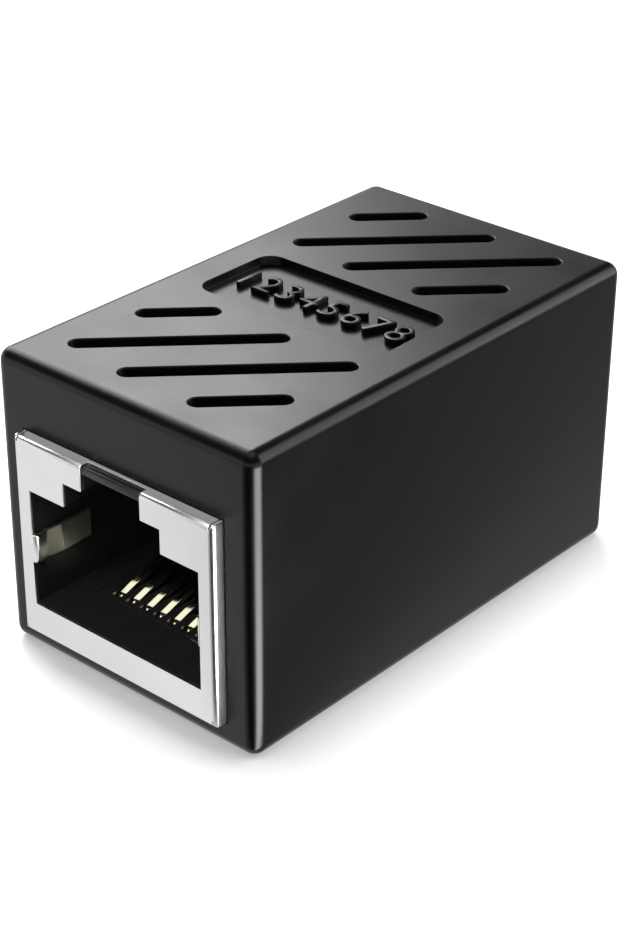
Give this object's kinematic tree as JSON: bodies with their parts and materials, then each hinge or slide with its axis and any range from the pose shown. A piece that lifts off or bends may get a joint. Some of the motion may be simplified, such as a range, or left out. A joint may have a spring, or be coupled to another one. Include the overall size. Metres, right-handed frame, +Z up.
{
  "type": "rj45 inline coupler",
  "caption": "Black box-shaped inline coupler that joins network cables end to end, with a metal-shielded modular port at both ends.",
  "frame": {"origin": "middle of the casing's base", "axes": "+Z up, away from the base towards the grooved top; +Y along the length from the front port to the rear port; +X to the right when looking into the front port"},
  "size_m": [0.018, 0.032, 0.0175],
  "materials": {
    "casing_plastic": "moulded black plastic, satin top and finely sparked sides",
    "jack_plastic": "moulded black glass-filled plastic, smooth",
    "shield_metal": "nickel-plated sheet, satin",
    "contact_gold": "gold-plated spring wire, bright",
    "board_laminate": "green solder mask",
    "solder_tin": "tin solder, smooth"
  },
  "bodies": {
    "root": {"housing": "casing_plastic", "rear_cap": "casing_plastic", "circuit_board": "board_laminate", "front_shield": "shield_metal", "front_jack_body": "jack_plastic", "front_contact_insert": "jack_plastic", "front_solder_joints": "solder_tin", "rear_shield": "shield_metal", "rear_jack_body": "jack_plastic", "rear_contact_insert": "jack_plastic", "rear_solder_joints": "solder_tin", "front_contact_1": "contact_gold", "front_contact_2": "contact_gold", "front_contact_3": "contact_gold", "front_contact_4": "contact_gold", "front_contact_5": "contact_gold", "front_contact_6": "contact_gold", "front_contact_7": "contact_gold", "front_contact_8": "contact_gold", "rear_contact_1": "contact_gold", "rear_contact_2": "contact_gold", "rear_contact_3": "contact_gold", "rear_contact_4": "contact_gold", "rear_contact_5": "contact_gold", "rear_contact_6": "contact_gold", "rear_contact_7": "contact_gold", "rear_contact_8": "contact_gold"}
  },
  "joints": []
}
